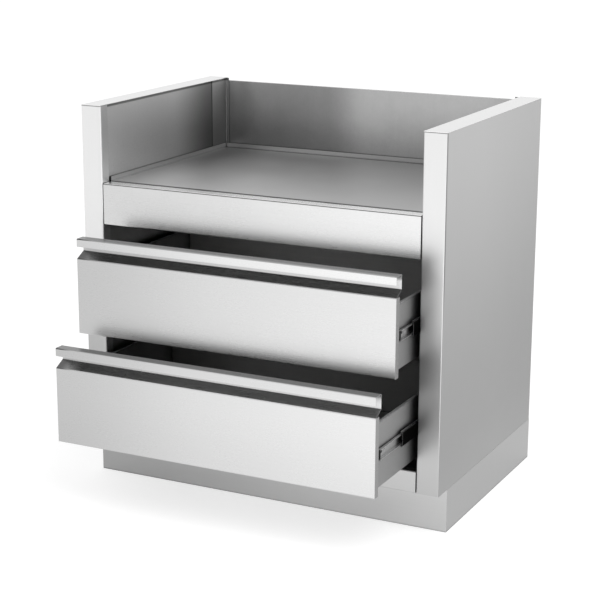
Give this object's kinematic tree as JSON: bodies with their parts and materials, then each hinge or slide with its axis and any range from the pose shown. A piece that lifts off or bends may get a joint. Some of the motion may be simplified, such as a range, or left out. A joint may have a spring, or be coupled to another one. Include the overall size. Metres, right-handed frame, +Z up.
{
  "type": "outdoor kitchen drawer unit",
  "caption": "Stainless steel outdoor kitchen base with full-width pull drawers on ball runners under an open bay for a drop-in grill head, on a recessed plinth.",
  "frame": {"origin": "on the floor, under the middle of the box that holds the unit with its drawers at rest", "axes": "+X to the right of someone facing the front, +Y to the back, +Z up"},
  "size_m": [0.914, 0.828, 0.914],
  "materials": {
    "outer_steel": "brushed stainless sheet, fine vertical grain on the walls, satin",
    "liner_steel": "plain mill finish stainless sheet, inside and out of the light",
    "runner_steel": "bright zinc plated steel channel",
    "cage_steel": "thin zinc plated strip with steel balls",
    "foot_steel": "zinc plated steel, dull",
    "bumper_rubber": "black moulded rubber"
  },
  "bodies": {
    "cabinet": {"side_skin_left": "outer_steel", "side_liner_left": "liner_steel", "wall_cap_left": "outer_steel", "rear_angle_left": "liner_steel", "plinth_side_left": "outer_steel", "levelling_foot_front_left": "foot_steel", "levelling_foot_rear_left": "foot_steel", "side_skin_right": "outer_steel", "side_liner_right": "liner_steel", "wall_cap_right": "outer_steel", "rear_angle_right": "liner_steel", "plinth_side_right": "outer_steel", "levelling_foot_front_right": "foot_steel", "levelling_foot_rear_right": "foot_steel", "back_panel": "liner_steel", "front_apron": "outer_steel", "front_rail": "outer_steel", "grill_tray": "liner_steel", "floor_panel": "liner_steel", "plinth_front": "outer_steel", "plinth_rear": "outer_steel", "upper_runner_outer_left": "runner_steel", "upper_runner_bumper_left": "bumper_rubber", "upper_runner_outer_right": "runner_steel", "upper_runner_bumper_right": "bumper_rubber", "lower_runner_outer_left": "runner_steel", "lower_runner_bumper_left": "bumper_rubber", "lower_runner_outer_right": "runner_steel", "lower_runner_bumper_right": "bumper_rubber"},
    "upper_drawer": {"upper_drawer_face": "outer_steel", "upper_box_front": "liner_steel", "upper_box_back": "liner_steel", "upper_box_floor": "liner_steel", "upper_box_side_left": "liner_steel", "upper_runner_inner_left": "runner_steel", "upper_box_side_right": "liner_steel", "upper_runner_inner_right": "runner_steel"},
    "upper_middle_members": {"upper_runner_middle_left": "runner_steel", "upper_runner_middle_right": "runner_steel"},
    "upper_outer_cages": {"upper_outer_cage_left": "cage_steel", "upper_outer_cage_right": "cage_steel"},
    "upper_inner_cages": {"upper_inner_cage_left": "cage_steel", "upper_inner_cage_right": "cage_steel"},
    "lower_drawer": {"lower_drawer_face": "outer_steel", "lower_box_front": "liner_steel", "lower_box_back": "liner_steel", "lower_box_floor": "liner_steel", "lower_box_side_left": "liner_steel", "lower_runner_inner_left": "runner_steel", "lower_box_side_right": "liner_steel", "lower_runner_inner_right": "runner_steel"},
    "lower_middle_members": {"lower_runner_middle_left": "runner_steel", "lower_runner_middle_right": "runner_steel"},
    "lower_outer_cages": {"lower_outer_cage_left": "cage_steel", "lower_outer_cage_right": "cage_steel"},
    "lower_inner_cages": {"lower_inner_cage_left": "cage_steel", "lower_inner_cage_right": "cage_steel"}
  },
  "joints": [
    {"name": "upper_drawer_slide", "type": "slide", "parent": "cabinet", "child": "upper_drawer", "axis": [0, -1, 0], "range_m": [-0.1205, 0.3295]},
    {"name": "upper_middle_members_slide", "type": "slide", "parent": "cabinet", "child": "upper_middle_members", "axis": [0, -1, 0], "range_m": [-0.0603, 0.1648]},
    {"name": "upper_outer_cages_slide", "type": "slide", "parent": "cabinet", "child": "upper_outer_cages", "axis": [0, -1, 0], "range_m": [-0.03018, 0.08242]},
    {"name": "upper_inner_cages_slide", "type": "slide", "parent": "cabinet", "child": "upper_inner_cages", "axis": [0, -1, 0], "range_m": [-0.09043, 0.24718]},
    {"name": "lower_drawer_slide", "type": "slide", "parent": "cabinet", "child": "lower_drawer", "axis": [0, -1, 0], "range_m": [-0.218, 0.232]},
    {"name": "lower_middle_members_slide", "type": "slide", "parent": "cabinet", "child": "lower_middle_members", "axis": [0, -1, 0], "range_m": [-0.10905, 0.11605]},
    {"name": "lower_outer_cages_slide", "type": "slide", "parent": "cabinet", "child": "lower_outer_cages", "axis": [0, -1, 0], "range_m": [-0.05455, 0.05805]},
    {"name": "lower_inner_cages_slide", "type": "slide", "parent": "cabinet", "child": "lower_inner_cages", "axis": [0, -1, 0], "range_m": [-0.16355, 0.17405]}
  ],
  "couplings": [
    {"joint": "upper_middle_members_slide", "follows": "upper_drawer_slide", "ratio": 0.5},
    {"joint": "upper_outer_cages_slide", "follows": "upper_drawer_slide", "ratio": 0.25},
    {"joint": "upper_inner_cages_slide", "follows": "upper_drawer_slide", "ratio": 0.75},
    {"joint": "lower_middle_members_slide", "follows": "lower_drawer_slide", "ratio": 0.5},
    {"joint": "lower_outer_cages_slide", "follows": "lower_drawer_slide", "ratio": 0.25},
    {"joint": "lower_inner_cages_slide", "follows": "lower_drawer_slide", "ratio": 0.75}
  ]
}
